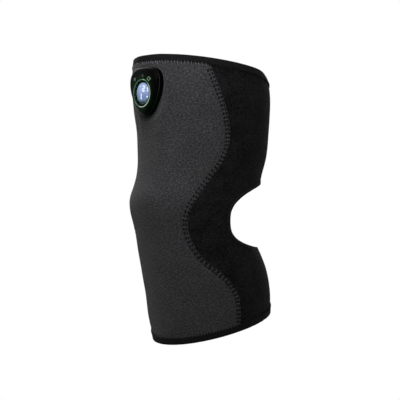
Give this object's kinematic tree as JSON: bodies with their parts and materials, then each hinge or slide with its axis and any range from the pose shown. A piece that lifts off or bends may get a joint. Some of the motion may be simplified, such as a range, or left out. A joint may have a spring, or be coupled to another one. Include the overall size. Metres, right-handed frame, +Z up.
{
  "type": "heated knee massager",
  "caption": "Padded knee wrap, open behind the knee, with heating films and vibration motors at the knee's sides and a shield-shaped push-button controller with a ring-lit display.",
  "frame": {"origin": "middle of the knee that the wrap is worn on, at the level of the mount leg", "axes": "+Z up the leg towards the thigh, -Y towards the front of the leg where the controller sits, +X towards the wearer's left"},
  "size_m": [0.1638, 0.17, 0.3155],
  "materials": {
    "grey_jersey": "mottled dark grey knit, matte",
    "black_loop": "black brushed loop cloth, matte",
    "binding": "black woven tape, matte",
    "lining": "charcoal brushed knit, matte",
    "foam": "soft grey foam",
    "hook_tape": "black hook tape",
    "film": "amber film, satin",
    "heating_wire": "dark carbon strip",
    "lead": "red insulation",
    "sensor": "dark bead",
    "steel": "bright",
    "weight": "sintered heavy metal",
    "pod_plastic": "dark moulded plastic",
    "gloss_black": "high gloss black",
    "lens": "dark tinted window",
    "ring_light": "green lit light guide",
    "module": "lit display",
    "board": "green circuit board",
    "battery": "foil pouch",
    "switch": "moulded",
    "rubber": "matte"
  },
  "bodies": {
    "wrap": {"backing_plate": "pod_plastic", "battery": "battery", "bottom_binding": "binding", "case_gasket": "rubber", "case_screw_1": "steel", "case_screw_2": "steel", "case_screw_3": "steel", "case_screw_4": "steel", "charging_socket": "steel", "circuit_board": "board", "controller_back_shell": "gloss_black", "controller_front_shell": "gloss_black", "display_lens": "lens", "display_module": "module", "foam_core": "foam", "front_panel": "grey_jersey", "heat_switch": "switch", "inner_lining": "lining", "lead_grommet": "rubber", "left_film_lead": "lead", "left_heating_film": "film", "left_heating_wire": "heating_wire", "left_motor_can": "steel", "left_motor_cover": "steel", "left_motor_lead": "lead", "left_motor_pod": "pod_plastic", "left_motor_shaft": "steel", "left_opening_binding": "binding", "left_side_panel": "black_loop", "left_temperature_sensor": "sensor", "light_ring": "ring_light", "lower_hook_tape": "hook_tape", "massage_switch": "switch", "power_switch": "switch", "right_film_lead": "lead", "right_heating_film": "film", "right_heating_wire": "heating_wire", "right_motor_can": "steel", "right_motor_cover": "steel", "right_motor_lead": "lead", "right_motor_pod": "pod_plastic", "right_motor_shaft": "steel", "right_opening_binding": "binding", "right_side_panel": "black_loop", "right_temperature_sensor": "sensor", "top_binding": "binding", "upper_hook_tape": "hook_tape"},
    "heat_key": {"heat_key": "gloss_black"},
    "power_key": {"power_key": "gloss_black"},
    "massage_key": {"massage_key": "gloss_black"},
    "left_motor_weight": {"left_motor_weight": "weight"},
    "right_motor_weight": {"right_motor_weight": "weight"}
  },
  "joints": [
    {"name": "heat_key_press", "type": "slide", "parent": "wrap", "child": "heat_key", "axis": [0, 1, 0], "range_m": [0, 0.0005], "stiffness_N_per_m": 1000},
    {"name": "power_key_press", "type": "slide", "parent": "wrap", "child": "power_key", "axis": [0, 1, 0], "range_m": [0, 0.0005], "stiffness_N_per_m": 1000},
    {"name": "massage_key_press", "type": "slide", "parent": "wrap", "child": "massage_key", "axis": [0, 1, 0], "range_m": [0, 0.0005], "stiffness_N_per_m": 1000},
    {"name": "left_motor_spin", "type": "hinge", "parent": "wrap", "child": "left_motor_weight", "pos_m": [0.04888, -0.04503, 0.06473], "axis": [0.6546, -0.7555, -0.0262], "continuous": true},
    {"name": "right_motor_spin", "type": "hinge", "parent": "wrap", "child": "right_motor_weight", "pos_m": [-0.04888, -0.04503, 0.06473], "axis": [-0.6546, -0.7555, -0.0262], "continuous": true}
  ]
}
